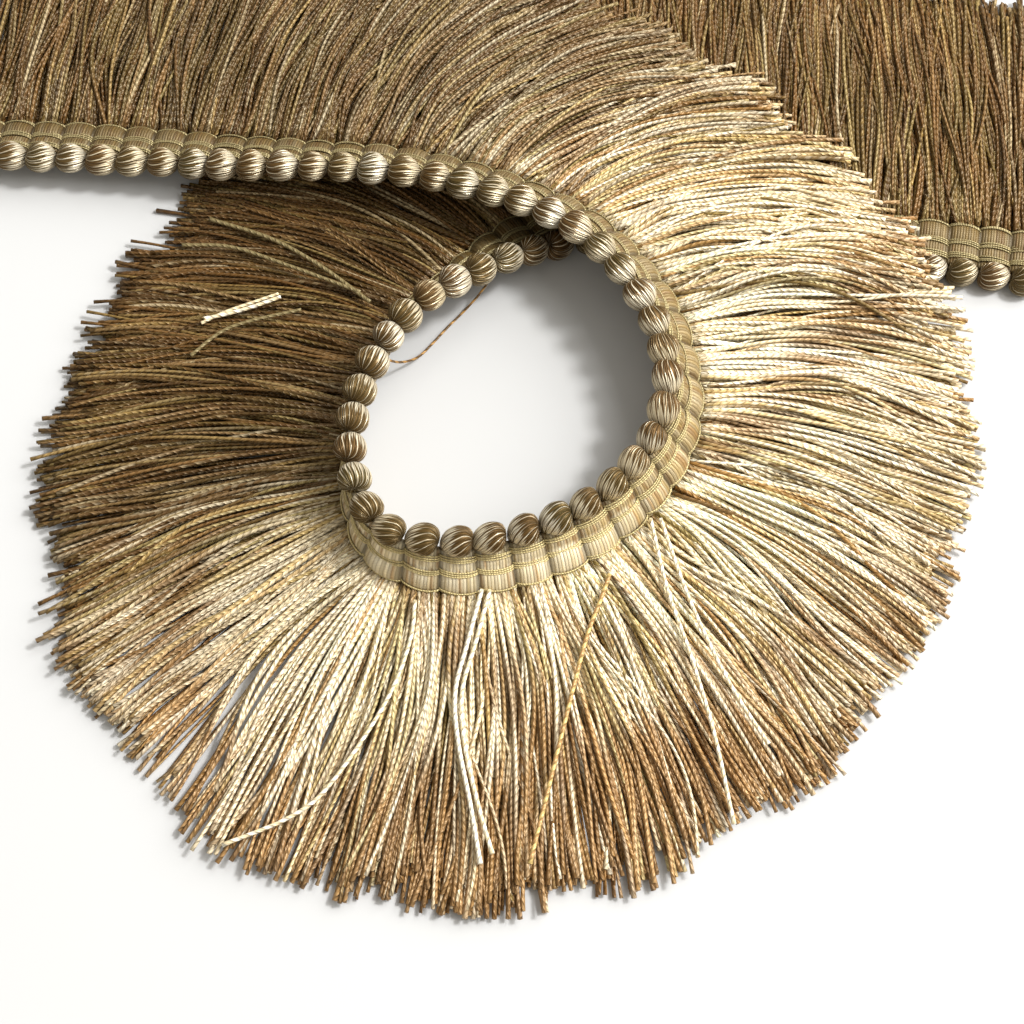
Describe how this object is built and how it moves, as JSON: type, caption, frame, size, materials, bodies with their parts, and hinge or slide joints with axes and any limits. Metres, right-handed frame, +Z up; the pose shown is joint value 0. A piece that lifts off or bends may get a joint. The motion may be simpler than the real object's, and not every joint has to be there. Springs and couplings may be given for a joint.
{
  "type": "cut fringe trim",
  "caption": "Cut length of brush fringe trim in satin yarn with a looped bead edge and woven heading, lying in a loop that crosses over itself.",
  "frame": {"origin": "middle of the whole part's outline in plan, on the surface that it rests on", "axes": "+Z up from the surface, +X along the two straight runs towards the right cut end, +Y from the loop towards the fringe of the straight runs"},
  "size_m": [0.1763, 0.18, 0.0151],
  "materials": {
    "bead_yarn": "satin yarn in brown and cream",
    "heading_thread": "woven satin yarn under fine gold binding thread",
    "fringe_yarn": "two-ply satin yarn in cream, gold, tan and brown"
  },
  "bodies": {
    "root": {"bead_edge": "bead_yarn", "woven_band": "heading_thread", "fringe_left_run": "fringe_yarn", "fringe_crossing": "fringe_yarn", "fringe_upper_turn": "fringe_yarn", "fringe_right_turn": "fringe_yarn", "fringe_bottom_turn": "fringe_yarn", "fringe_left_turn": "fringe_yarn", "fringe_return": "fringe_yarn", "fringe_right_run": "fringe_yarn"}
  },
  "joints": []
}
